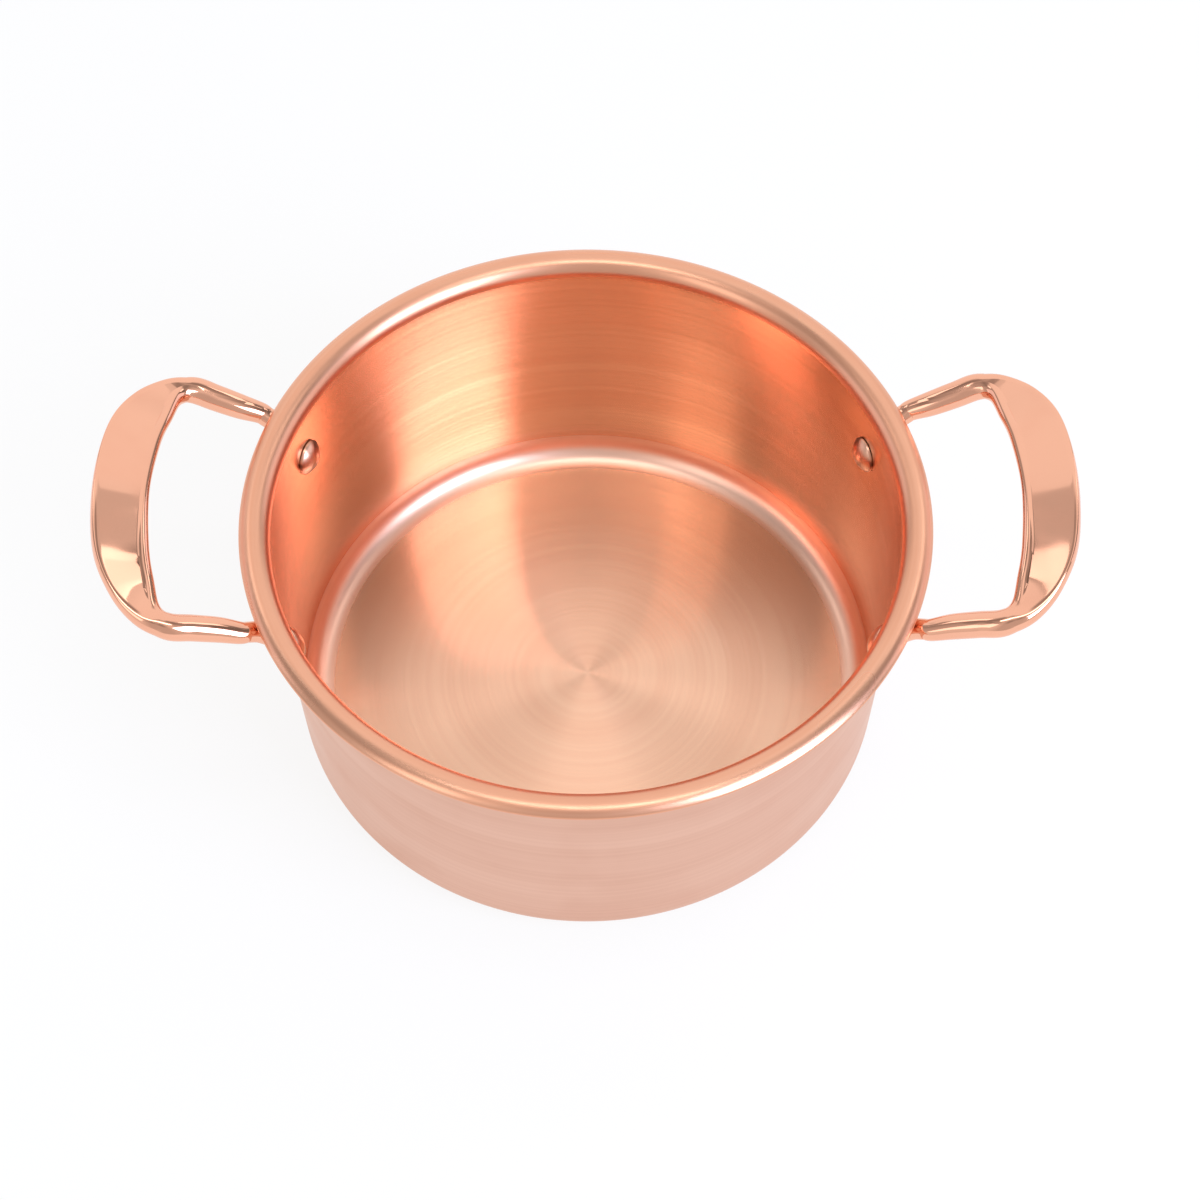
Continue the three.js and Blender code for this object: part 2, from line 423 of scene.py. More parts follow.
@dataclass(frozen=True)
class Head:
    """A domed rivet head.

    Attributes:
        radius: Radius at the seat.
        height: Height over the seat.
        rim: Height of the upright rim below the dome.
        gap: Gap under the seat.
    """

    radius: float
    height: float
    rim: float
    gap: float

    def outline(self, seat: float, way: int, steps: int = 12) -> list[tuple[float, float]]:
        """Half outline from the crown on the axis to the seat.

        Args:
            seat: Place of the seat along the rivet.
            way: -1 for a head that stands inwards, 1 for one that stands outwards.
            steps: Steps along the dome.

        Returns:
            Points of radius and place along the rivet.
        """
        dome = self.height - self.rim
        sphere = (self.radius**2 + dome**2) / (2 * dome)
        sweep = math.asin(self.radius / sphere)
        points = []
        for step in range(steps + 1):
            angle = sweep * step / steps
            rise = self.height - sphere * (1 - math.cos(angle))
            points.append((sphere * math.sin(angle), seat + way * rise))
        return [*points, (self.radius, seat)]


@dataclass
class RivetSet:
    """The four solid rivets that clamp the handles to the wall.

    Attributes:
        vessel: The vessel that they pass through.
        angle: Turn of each rivet from the X axis.
        below_rim: Depth below the lip's outermost circle.
        shank: Radius of the shank.
        clearance: Between a shank and its hole.
        pad_gap: Gap between the wall and a handle's pad.
        pad_thickness: Thickness of a pad.
        inner: The head inside the pot.
        outer: The head outside.
        columns: Columns of faces round a rivet.
    """

    vessel: Vessel
    angle: float = math.radians(21.8)
    below_rim: float = 17.5 * MM
    shank: float = 2.5 * MM
    clearance: float = 0.15 * MM
    pad_gap: float = 0.3 * MM
    pad_thickness: float = 2.6 * MM
    inner: Head = Head(5.4 * MM, 3.2 * MM, 0.6 * MM, 0.25 * MM)
    outer: Head = Head(4.6 * MM, 2.0 * MM, 0.5 * MM, 0.15 * MM)
    columns: int = 48

    @property
    def height(self) -> float:
        """Height of the rivets' axes at the wall's inside face."""
        return self.vessel.rim_height - self.below_rim

    def turn(self, side: Side, row: Row) -> float:
        """Angle of a rivet about Z."""
        return side.value + (1 if side is Side.RIGHT else -1) * row.value * self.angle

    def angles(self) -> list[float]:
        """Angles of all four rivets."""
        return [self.turn(side, row) for side in Side for row in Row]

    def place(self, angle: float) -> Matrix:
        """Frame of a rivet, its origin on the wall's inside face and its Z out along the wall's normal.

        Args:
            angle: Angle of the rivet about Z.

        Returns:
            The frame.
        """
        inside = self.vessel.wall_radius(self.height) - self.vessel.sheet / math.cos(self.vessel.lean)
        out = Matrix.Rotation(math.pi / 2 + self.vessel.lean, 4, "Y")
        return Matrix.Rotation(angle, 4, "Z") @ Matrix.Translation((inside, 0, self.height)) @ out

    def cutters(self, angles: list[float]) -> list[bpy.types.Object]:
        """Makes the solids that drill the holes.

        Args:
            angles: Angles of the holes about Z.

        Returns:
            Cylinders through the wall and the pad.
        """
        reach = 2 * (self.vessel.sheet + self.pad_thickness)
        radius = self.shank + self.clearance
        outline = np.array([(0, -reach), (radius, -reach), (radius, reach), (0, reach)])
        vertices, faces = revolve(outline, self.columns)
        made = []
        for number, angle in enumerate(angles):
            cutter = new_piece(f"hole_cutter_{number}", vertices, faces)
            cutter.data.transform(self.place(angle))
            made.append(cutter)
        return made

    def build(self, finish: CopperFinish) -> list[bpy.types.Object]:
        """Makes the four rivets.

        Args:
            finish: Their finish.

        Returns:
            The rivets.
        """
        seat = self.vessel.sheet + self.pad_gap + self.pad_thickness + self.outer.gap
        inner = self.inner.outline(-self.inner.gap, -1)
        outer = self.outer.outline(seat, 1)
        shank = [(self.shank, -self.inner.gap), (self.shank, seat)]
        vertices, faces = revolve(np.array([*inner, *shank, *reversed(outer)]), self.columns)
        made = []
        for side in Side:
            for row in Row:
                name = f"{side.name}_{row.name}".lower()
                piece = new_piece(f"dome_rivet_{name}", vertices, faces)
                piece.data.transform(self.place(self.turn(side, row)))
                piece.data.materials.append(finish.material())
                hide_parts(f"rivet_{name}")
                made.append(piece)
        return made


# The handles


@dataclass(frozen=True)
class Station:
    """One section of a handle.

    Attributes:
        place: Middle of the section.
        width: Width, across the strap.
        thickness: Thickness of the strap.
        flare: Angle that the outer edge is raised.
        edge: Roundness of the outer edge, from 0 for square to 1 for a half circle.
        bead: How far the round inner edge stands over the upper face.
    """

    place: tuple[float, float, float]
    width: float
    thickness: float
    flare: float
    edge: float = 1.0
    bead: float = 0.0

    def row(self, side: int) -> list[float]:
        """The station as numbers, mirrored across Y where side is -1."""
        x, y, z = self.place
        return [x, side * y, z, self.width, self.thickness, self.flare, self.edge, self.bead]


@dataclass
class LoopHandle:
    """A loop handle: two round legs, flattened to pads at the wall and to a broad strap at the grip.

    Attributes:
        vessel: The vessel that it sits on.
        rivets: The rivets that hold it.
        rod: Diameter of the legs.
        leg_spread: From the plane between the legs to the middle of a leg at the corner.
        neck_width: Width where a leg passes under the lip.
        neck_thickness: Thickness there.
        reach: Pot axis to the middle of the strap.
        rise: Middle of the strap above the lip's outermost circle.
        grip_width: Width of the strap.
        grip_thickness: Thickness of the strap.
        grip_edge: Roundness of the strap's outer edge, from 0 to 1.
        flare: Angle that the strap's outer edge is raised.
        pad_width: Width of a pad.
        pad_top: Where a pad starts, below the lip's outermost circle.
        steps: Rings from one station to the next.
        round_steps: Steps round an end of the section.
        flat_shares: Places of the points along the section's flat faces.
    """

    vessel: Vessel
    rivets: RivetSet
    rod: float = 7.1 * MM
    leg_spread: float = 41.5 * MM
    neck_width: float = 6.2 * MM
    neck_thickness: float = 5.4 * MM
    reach: float = 131.7 * MM
    rise: float = 14.6 * MM
    grip_width: float = 16.2 * MM
    grip_thickness: float = 3.2 * MM
    grip_edge: float = 0.45
    flare: float = math.radians(20)
    pad_width: float = 15 * MM
    pad_top: float = 12.6 * MM
    steps: int = 10
    round_steps: int = 12
    flat_shares: tuple[float, ...] = (0.05, 0.28, 0.5, 0.72, 0.95)

    def loop(
        self,
        inset: float,
        y: float,
        rise: float,
        size: tuple[float, float],
        lift: float = 0.0,
        edge: float = 1.0,
        bead: float = 0.0,
    ) -> Station:
        """A station on the loop.

        Args:
            inset: From the grip towards the pot.
            y: Across the loop.
            rise: Over the lip's outermost circle.
            size: Width and thickness.
            lift: Degrees that the section is flared beyond the strap's own flare.
            edge: Roundness of the outer edge.
            bead: How far the inner edge stands over the upper face.

        Returns:
            The station.
        """
        place = (self.reach - inset, y, self.vessel.rim_height + rise)
        return Station(place, *size, self.flare + math.radians(lift), edge, bead)

    def upright(self, radius: float, z: float, width: float, thickness: float) -> Station:
        """A station in the upright plane through a rivet."""
        angle = self.rivets.angle
        return Station((radius * math.cos(angle), radius * math.sin(angle), z), width, thickness, 0.0)

    def neck(self, out: float, rise: float, width: float, thickness: float) -> Station:
        """A station under the lip, by how far it lies outside the rim and above it."""
        radius, z = self.vessel.rim_radius + out, self.vessel.rim_height + rise
        return self.upright(radius, z, self.neck_width + width, self.neck_thickness + thickness)

    def pad(self, z: float, width: float, share: float = 1.0) -> Station:
        """A station on the pad, which lies along the wall.

        Args:
            z: Its height.
            width: Its width.
            share: Share of the pad's full thickness.

        Returns:
            The station.
        """
        thickness = self.rivets.pad_thickness
        radius = self.vessel.wall_radius(z) + self.rivets.pad_gap + thickness / 2
        return self.upright(radius, z, width, thickness * share)

    def half(self) -> list[Station]:
        """Stations of half the handle, on the side of positive Y.

        Returns:
            Stations from the middle of the grip to the foot of the pad.
        """
        rise, spread, rod = self.rise, self.leg_spread, self.rod
        wide, thin, sharp = self.grip_width, self.grip_thickness, self.grip_edge
        rivet, pad_round = self.rivets.height, self.pad_width / 2
        corner = (rod + 2.2 * MM, rod - 2 * MM)
        return [
            # Strap, from the middle of the grip to its end
            self.loop(0, 0, rise, (wide, thin), 0, sharp, 0.2 * MM),
            self.loop(1.4 * MM, 19 * MM, rise - 1.8 * MM, (wide - 0.2 * MM, thin), 0, sharp, 0.6 * MM),
            self.loop(5 * MM, 30.8 * MM, rise - 4.6 * MM, (wide - 2.6 * MM, thin), 2, sharp, 1.0 * MM),
            # Corner, where the strap narrows and thickens to the round leg
            self.loop(9.6 * MM, spread - 2.9 * MM, 7.4 * MM, corner, -6, 0.8, 0.3 * MM),
            self.loop(15.4 * MM, spread, 5.2 * MM, (rod, rod)),
            # Leg, sloping straight down towards the lip
            self.loop(22 * MM, spread - 1 * MM, 2.7 * MM, (rod, rod)),
            self.loop(28.8 * MM, spread - 2.1 * MM, 0, (rod, rod - 0.4 * MM), -10),
            # Neck, passing under the lip and flattening on its way to the wall
            self.neck(4.7 * MM, -2.4 * MM, 0.2 * MM, 0.4 * MM),
            self.neck(2.5 * MM, -3.4 * MM, 0, 0),
            self.neck(-0.6 * MM, -5.1 * MM, 0.4 * MM, -0.2 * MM),
            self.neck(-3.6 * MM, -8.5 * MM, 2 * MM, -1.2 * MM),
            # Pad against the wall, with a round foot about the rivet
            self.pad(self.vessel.rim_height - self.pad_top, self.pad_width - 3 * MM),
            self.pad(rivet + 1 * MM, self.pad_width),
            self.pad(rivet - pad_round / 2, 2 * pad_round * math.cos(math.pi / 6)),
            self.pad(rivet - pad_round * 0.86, pad_round),
            self.pad(rivet - pad_round, self.rivets.pad_thickness / 2, 0.5),
        ]

    def section(self, width: float, thickness: float, edge: float, bead: float) -> np.ndarray:
        """Section with a round inner end and an outer end of a given roundness.

        Args:
            width: Its width.
            thickness: Its thickness.
            edge: Roundness of the outer end, from 0 to 1.
            bead: How far the inner end stands over the upper face.

        Returns:
            Rows of offsets along the width and the thickness.
        """
        end = thickness / 2
        ball = end + bead / 2
        least = 0.06 * width
        outer = max(width / 2 - end, least)
        inner = max(width / 2 - ball, least)
        opening = math.asin((end - bead / 2) / ball)
        points = []
        for turn in np.linspace(-math.pi / 2, math.pi / 2, self.round_steps + 1):
            out = max(math.cos(turn), 0.0) ** edge
            up = math.copysign(abs(math.sin(turn)) ** edge, turn)
            points.append((outer + end * out, end * up))
        groove = ball * math.cos(opening) - inner
        points += [(outer + (groove - outer) * share, end) for share in self.flat_shares]
        for turn in np.linspace(math.pi - opening, -math.pi / 2, self.round_steps + 1):
            points.append((-inner - ball * math.cos(turn), bead / 2 + ball * math.sin(turn)))
        points += [((outer + inner) * share - inner, -end) for share in self.flat_shares]
        return np.array(points)

    def inward(self, place: np.ndarray, tangent: np.ndarray) -> np.ndarray:
        """Level direction into the loop, square to the path, or along the wall on a steep stretch.

        Args:
            place: Point of the path.
            tangent: Direction of the path there.

        Returns:
            A unit vector.
        """
        steepest = 0.5
        level = np.array([-tangent[1], tangent[0], 0.0])
        length = np.linalg.norm(level)
        if length > steepest:
            return level / length
        way = math.copysign(1, place[1])
        return np.array([math.sin(self.rivets.angle), -way * math.cos(self.rivets.angle), 0.0])

    def rings(self) -> np.ndarray:
        """Rings of points along the whole handle.

        Returns:
            Points by ring, place in the ring and axis, from one pad over the grip to the other.
        """
        half = self.half()
        rows = [s.row(-1) for s in reversed(half[1:])] + [s.row(1) for s in half]
        places, slopes = catmull_rom(np.array(rows), self.steps)
        rings = []
        for (*place, width, thickness, flare, edge, bead), slope in zip(places, slopes[:, :3]):
            tangent = slope / np.linalg.norm(slope)
            inward = self.inward(np.array(place), tangent)
            upward = np.cross(tangent, inward)
            upward /= np.linalg.norm(upward)
            along = upward * math.sin(flare) - inward * math.cos(flare)
            across = inward * math.sin(flare) + upward * math.cos(flare)
            section = self.section(width, thickness, min(edge, 1.0), max(bead, 0.0))
            rings.append(np.array(place) + section[:, :1] * along + section[:, 1:] * across)
        return np.array(rings)

    def build(self, side: Side, finish: CopperFinish) -> bpy.types.Object:
        """Makes one drilled handle.

        Args:
            side: The side that it sits on.
            finish: Its finish.

        Returns:
            The handle.
        """
        name = side.name.lower()
        piece = new_piece(f"loop_handle_{name}", *loft(self.rings()))
        drill(piece, self.rivets.cutters([self.rivets.angle, -self.rivets.angle]))
        piece.data.transform(Matrix.Rotation(side.value, 4, "Z"))
        piece.data.materials.append(finish.material())
        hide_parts(f"handle_{name}")
        return piece


# The finishes


class NodeBench:
    """A short way to place and join nodes in one tree."""

    def __init__(self, tree: bpy.types.NodeTree) -> None:
        """Starts on an empty tree."""
        tree.nodes.clear()
        self.tree = tree

    def add(self, kind: str, inputs: dict[str | int, object] | None = None, **settings: object) -> Node:
        """Places a node.

        Args:
            kind: Blender's name for the node.
            inputs: Sockets to fill, each with a value or with another node's output.
            settings: Properties of the node.

        Returns:
            The node.
        """
        node = self.tree.nodes.new(kind)
        for name, value in settings.items():
            setattr(node, name, value)
        for socket, value in (inputs or {}).items():
            if isinstance(value, Socket):
                self.tree.links.new(value, node.inputs[socket])
            else:
                node.inputs[socket].default_value = value
        return node

    def math(self, operation: str, first: object, second: object = 0.0, third: object = 0.0) -> Socket:
        """Output of a Math node on up to three values."""
        return self.add("ShaderNodeMath", {0: first, 1: second, 2: third}, operation=operation).outputs[0]

    def ramp(self, share: object, stops: list[tuple[float, float]]) -> Socket:
        """Grey that runs smoothly through stops.

        Args:
            share: Value that picks the tone.
            stops: Pairs of a value and a tone, in order.

        Returns:
            The ramp's colour.
        """
        node = self.add("ShaderNodeValToRGB", {0: share})
        elements = node.color_ramp.elements
        while len(elements) < len(stops):
            elements.new(1.0)
        for element, (position, tone) in zip(elements, stops):
            element.position = position
            element.color = (tone, tone, tone, 1)
        return node.outputs[0]

    def blend(self, share: object, low: object, high: object) -> Socket:
        """Colour that runs from low to high with a share."""
        inputs = {"Factor": share, 6: low, 7: high}
        return self.add("ShaderNodeMix", inputs, data_type="RGBA", clamp_factor=True).outputs[2]


def new_group(
    name: str, inputs: list[str], outputs: list[str]
) -> tuple[NodeBench, dict[str, Socket], Node]:
    """Starts a shader node group of plain values.

    Args:
        name: Name of the group.
        inputs: Names of its inputs.
        outputs: Names of its outputs.

    Returns:
        The bench, the inputs by name, and the output node to join to.
    """
    tree = bpy.data.node_groups.new(name, "ShaderNodeTree")
    for socket in inputs:
        tree.interface.new_socket(socket, in_out="INPUT", socket_type="NodeSocketFloat")
    for socket in outputs:
        tree.interface.new_socket(socket, in_out="OUTPUT", socket_type="NodeSocketFloat")
    bench = NodeBench(tree)
    given = bench.add("NodeGroupInput")
    return bench, {socket: given.outputs[socket] for socket in inputs}, bench.add("NodeGroupOutput")


def lathe_lines_group() -> bpy.types.NodeTree:
    """Rings left by brushing on a lathe: fine lines, and broader bands of them.

    Returns:
        The group, with the input Pitch in lines per metre and the outputs Line and Band from 0 to 1.
    """
    name = "lathe_lines"
    if name in bpy.data.node_groups:
        return bpy.data.node_groups[name]
    bench, given, out = new_group(name, ["Pitch"], ["Line", "Band"])
    place = bench.add("ShaderNodeTexCoord").outputs["Object"]
    axes = bench.add("ShaderNodeSeparateXYZ", {0: place})
    flat = bench.add("ShaderNodeCombineXYZ", {"X": axes.outputs["X"], "Y": axes.outputs["Y"]})
    radius = bench.add("ShaderNodeVectorMath", {0: flat.outputs[0]}, operation="LENGTH").outputs["Value"]
    around = bench.add("ShaderNodeVectorMath", {0: flat.outputs[0]}, operation="NORMALIZE").outputs["Vector"]
    turn = bench.add("ShaderNodeSeparateXYZ", {0: around})
    coarse = 0.12
    sway = 0.4
    for socket, share in (("Line", 1.0), ("Band", coarse)):
        pitch = bench.math("MULTIPLY", given["Pitch"], share)
        across = bench.math("MULTIPLY", radius, pitch)
        height = bench.math("MULTIPLY", axes.outputs["Z"], pitch)
        spot = bench.add(
            "ShaderNodeCombineXYZ",
            {
                "X": across,
                "Y": bench.math("MULTIPLY", turn.outputs["X"], sway),
                "Z": bench.math("MULTIPLY", turn.outputs["Y"], sway),
            },
        )
        noise = bench.add(
            "ShaderNodeTexNoise",
            {"Vector": spot.outputs[0], "W": height, "Scale": 1.0, "Detail": 1.0, "Roughness": 0.5},
            noise_dimensions="4D",
        )
        shaped = bench.add(
            "ShaderNodeMapRange",
            {"Value": noise.outputs["Fac"], "From Min": 0.3, "From Max": 0.7},
            interpolation_type="SMOOTHSTEP",
        )
        bench.tree.links.new(shaped.outputs[0], out.inputs[socket])
    return bench.tree


def polish_haze_group() -> bpy.types.NodeTree:
    """What a polished surface keeps: hazy patches and slow waves.

    Returns:
        The group, with the input Scale and the outputs Haze and Wave from 0 to 1.
    """
    name = "polish_haze"
    if name in bpy.data.node_groups:
        return bpy.data.node_groups[name]
    bench, given, out = new_group(name, ["Scale"], ["Haze", "Wave"])
    place = bench.add("ShaderNodeTexCoord").outputs["Object"]
    haze = bench.add(
        "ShaderNodeTexNoise",
        {"Vector": place, "Scale": given["Scale"], "Detail": 2.0, "Roughness": 0.5, "Distortion": 0.2},
    )
    shaped = bench.add(
        "ShaderNodeMapRange",
        {"Value": haze.outputs["Fac"], "From Min": 0.42, "From Max": 0.7},
        interpolation_type="SMOOTHSTEP",
    )
    wave = bench.add(
        "ShaderNodeTexNoise", {"Vector": place, "Scale": given["Scale"], "Detail": 1.0, "Roughness": 0.4}
    )
    bench.tree.links.new(shaped.outputs[0], out.inputs["Haze"])
    bench.tree.links.new(wave.outputs["Fac"], out.inputs["Wave"])
    return bench.tree


@dataclass(frozen=True)
class CopperFinish:
    """One finish of the copper.

    Attributes:
        name: Name of the material.
        bright: Colour of the clean metal, linear.
        deep: Colour in the brushed lines and in hazy patches, linear.
        roughness: Roughness of the clean metal.
        edge: Tint of the reflection at grazing angles.
        anisotropy: How far reflections are drawn out across the brushed lines.
        line_pitch: Brushed lines per metre.
        line_depth: Height of the lines.
        line_tone: How far the lines darken the metal.
        line_roughness: Roughness that the lines add.
        haze_scale: Scale of the hazy patches and waves.
        haze_tone: How far the patches darken the metal.
        haze_roughness: Roughness that the patches add.
        wave_depth: Height of the slow waves.
    """

    name: str
    bright: Colour
    deep: Colour
    roughness: float
    edge: Colour = (1.0, 1.0, 1.0, 1.0)
    anisotropy: float = 0.0
    line_pitch: float = 800.0
    line_depth: float = 0.0
    line_tone: float = 0.0
    line_roughness: float = 0.0
    haze_scale: float = 40.0
    haze_tone: float = 0.0
    haze_roughness: float = 0.0
    wave_depth: float = 0.0

    def material(self) -> bpy.types.Material:
        """The material of this finish, made once.

        Returns:
            The material.
        """
        if self.name in bpy.data.materials:
            return bpy.data.materials[self.name]
        quarter_turn = 0.25
        made = bpy.data.materials.new(self.name)
        made.use_nodes = True
        bench = NodeBench(made.node_tree)
        lines = bench.add("ShaderNodeGroup", node_tree=lathe_lines_group())
        lines.inputs["Pitch"].default_value = self.line_pitch
        haze = bench.add("ShaderNodeGroup", node_tree=polish_haze_group())
        haze.inputs["Scale"].default_value = self.haze_scale
        metal = bench.add(
            "ShaderNodeBsdfPrincipled",
            {
                "Base Color": self.colour(bench, lines, haze),
                "Roughness": self.gloss(bench, lines, haze),
                "Normal": self.relief(bench, lines, haze),
                "Metallic": 1.0,
                "Specular Tint": self.edge,
                "Anisotropic": self.anisotropy,
                "Anisotropic Rotation": quarter_turn,
                "Tangent": bench.add("ShaderNodeTangent", direction_type="RADIAL", axis="Z").outputs[0],
            },
        )
        bench.add("ShaderNodeOutputMaterial", {"Surface": metal.outputs[0]})
        return made

    def colour(self, bench: NodeBench, lines: Node, haze: Node) -> Socket:
        """Colour of the metal: deeper in the brushed lines, the bands and the patches.

        Args:
            bench: The material's tree.
            lines: The group of lathe lines.
            haze: The group of polishing haze.

        Returns:
            The colour.
        """
        fine = bench.math("MULTIPLY", lines.outputs["Line"], self.line_tone)
        broad = bench.math("MULTIPLY", lines.outputs["Band"], self.line_tone)
        patches = bench.math("MULTIPLY", haze.outputs["Haze"], self.haze_tone)
        share = bench.math("ADD", bench.math("ADD", fine, broad), patches)
        return bench.blend(share, self.bright, self.deep)

    def gloss(self, bench: NodeBench, lines: Node, haze: Node) -> Socket:
        """Roughness of the metal: higher in the bands and the patches.

        Args:
            bench: The material's tree.
            lines: The group of lathe lines.
            haze: The group of polishing haze.

        Returns:
            The roughness.
        """
        broad = bench.math("MULTIPLY", lines.outputs["Band"], self.line_roughness)
        patches = bench.math("MULTIPLY", haze.outputs["Haze"], self.haze_roughness)
        return bench.math("ADD", bench.math("ADD", broad, patches), self.roughness)

    def relief(self, bench: NodeBench, lines: Node, haze: Node) -> Socket:
        """Normal of the metal: slow waves with the brushed lines on them.

        Args:
            bench: The material's tree.
            lines: The group of lathe lines.
            haze: The group of polishing haze.

        Returns:
            The normal.
        """
        wave = bench.add("ShaderNodeBump", {"Height": haze.outputs["Wave"], "Distance": self.wave_depth})
        line = bench.add(
            "ShaderNodeBump",
            {"Height": lines.outputs["Line"], "Distance": self.line_depth, "Normal": wave.outputs[0]},
        )
        return line.outputs[0]


# Brushed inside, satin on the lip and outside, smooth in the floor's corner. The copper's colour also differs
# by zone as painted light: the wall and the lip are darker, redder copies of the floor's tone and the outside
# a darker one, painted shade; the corner is a paler copy, a painted highlight of its bright ring.
VESSEL_COPPER: dict[Zone, CopperFinish] = {
    # Darker and redder than the floor: painted shade of the inside wall
    Zone.WALL: CopperFinish(
        name="spun_copper_wall",
        bright=(0.93, 0.53, 0.355, 1),
        deep=(0.84, 0.40, 0.24, 1),
        roughness=0.15,
        anisotropy=0.92,
        line_depth=0.003 * MM,
        line_tone=0.4,
        line_roughness=0.05,
    ),
    Zone.FLOOR: CopperFinish(
        name="spun_copper_floor",
        bright=(0.96, 0.59, 0.415, 1),
        deep=(0.90, 0.50, 0.34, 1),
        roughness=0.24,
        anisotropy=0.93,
        line_depth=0.001 * MM,
        line_tone=0.3,
        line_roughness=0.02,
    ),
    # Darker and redder than the floor: painted shade
    Zone.LIP: CopperFinish(
        name="spun_copper_lip",
        bright=(0.90, 0.475, 0.315, 1),
        deep=(0.82, 0.385, 0.24, 1),
        roughness=0.26,
        anisotropy=0.3,
        line_tone=0.4,
        line_roughness=0.06,
        haze_tone=0.2,
        haze_roughness=0.05,
    ),
    # Darker than the floor: painted shade
    Zone.OUTSIDE: CopperFinish(
        name="spun_copper_outside",
        bright=(0.84, 0.525, 0.41, 1),
        deep=(0.76, 0.445, 0.335, 1),
        edge=(0.96, 0.90, 0.86, 1),
        roughness=0.28,
        anisotropy=0.5,
        line_depth=0.003 * MM,
        line_tone=0.4,
        line_roughness=0.06,
        haze_tone=0.25,
        haze_roughness=0.05,
    ),
    # Paler than the floor: a painted highlight of the corner's bright ring
    Zone.CORNER: CopperFinish(
        name="spun_copper_corner",
        bright=(0.96, 0.61, 0.47, 1),
        deep=(0.90, 0.51, 0.37, 1),
        roughness=0.3,
        anisotropy=0.3,
        line_tone=0.3,
        line_roughness=0.03,
    ),
}
HANDLE_COPPER = CopperFinish(
    name="polished_copper_handle",
    bright=(0.94, 0.49, 0.335, 1),
    deep=(0.88, 0.42, 0.28, 1),
    roughness=0.05,
    haze_scale=60.0,
    haze_tone=0.3,
    haze_roughness=0.05,
    wave_depth=0.02 * MM,
)
# Darker copper than the handles' and the vessel's: painted shade on the rivet heads
RIVET_COPPER = CopperFinish(
    name="polished_copper_rivet",
    bright=(0.86, 0.50, 0.36, 1),
    deep=(0.68, 0.35, 0.23, 1),
    roughness=0.28,
    haze_scale=180.0,
    haze_tone=0.4,
    haze_roughness=0.08,
    wave_depth=0.01 * MM,
)


# The studio


@dataclass(frozen=True)
class Softbox:
    """A lamp with a flat glowing face.

    Attributes:
        name: Name of the lamp.
        place: Middle of its face.
        aim: Point that it faces.
        width: Width of the face.
        height: Height of the face.
        glow: Brightness of the face, where 1 is white.
        tint: Colour of its light.
    """

    name: str
    place: tuple[float, float, float]
    aim: tuple[float, float, float]
    width: float
    height: float
    glow: float
    tint: tuple[float, float, float] = (1.0, 1.0, 1.0)

    def build(self) -> bpy.types.Object:
        """Makes the lamp, unseen by the camera.

        Returns:
            The lamp.
        """
        light = bpy.data.lights.new(self.name, "AREA")
        light.color = self.tint
        light.shape = "RECTANGLE"
        light.size, light.size_y = self.width, self.height
        watts_per_glow = 4.0
        light.energy = watts_per_glow * self.glow * self.width * self.height
        lamp = bpy.data.objects.new(self.name, light)
        bpy.context.scene.collection.objects.link(lamp)
        lamp.location = self.place
        lamp.rotation_euler = (Vector(self.aim) - Vector(self.place)).to_track_quat("-Z", "Y").to_euler()
        lamp.visible_camera = False
        return lamp


STRIP_TINT = (1.0, 0.95, 1.1)
LAMPS = (
    # The large key, which draws the light band on the back wall
    Softbox(
        "key_right_front",
        place=(0.78, -0.61, 0.836),
        aim=(0.0, 0.0, 0.48),
        width=0.74,
        height=0.98,
        glow=3.4,
        tint=(0.93, 1.06, 1.45),
    ),
    # A weaker fill for the lighter band further right
    Softbox("fill_left_front", (-0.70, -0.70, 0.95), (0.0, 0.0, 0.2), width=0.42, height=0.7, glow=0.72),
    # A small lamp over the pot, which shows in the floor's corner at the back
    Softbox("overhead", (0.0, -0.08, 1.05), (0.0, 0.0, 0.05), width=0.5, height=0.15, glow=2.7),
    # Low strips, which show in the floor's corner at the sides
    Softbox("strip_right", (0.95, 0.31, 0.40), (0.0, 0.0, 0.02), 0.8, 0.62, glow=0.7, tint=STRIP_TINT),
    Softbox("strip_left", (-0.95, 0.31, 0.40), (0.0, 0.0, 0.02), 0.8, 0.62, glow=0.45, tint=STRIP_TINT),
    # Panels that show in the straps
    Softbox("panel_back_right", (0.525, 0.496, 0.969), (-0.13, -0.01, 0.1), 0.26, 0.27, glow=1.05),
    Softbox("panel_back_left", (-0.554, 0.472, 0.96), (0.13, -0.01, 0.1), 0.26, 0.27, glow=0.95),
)


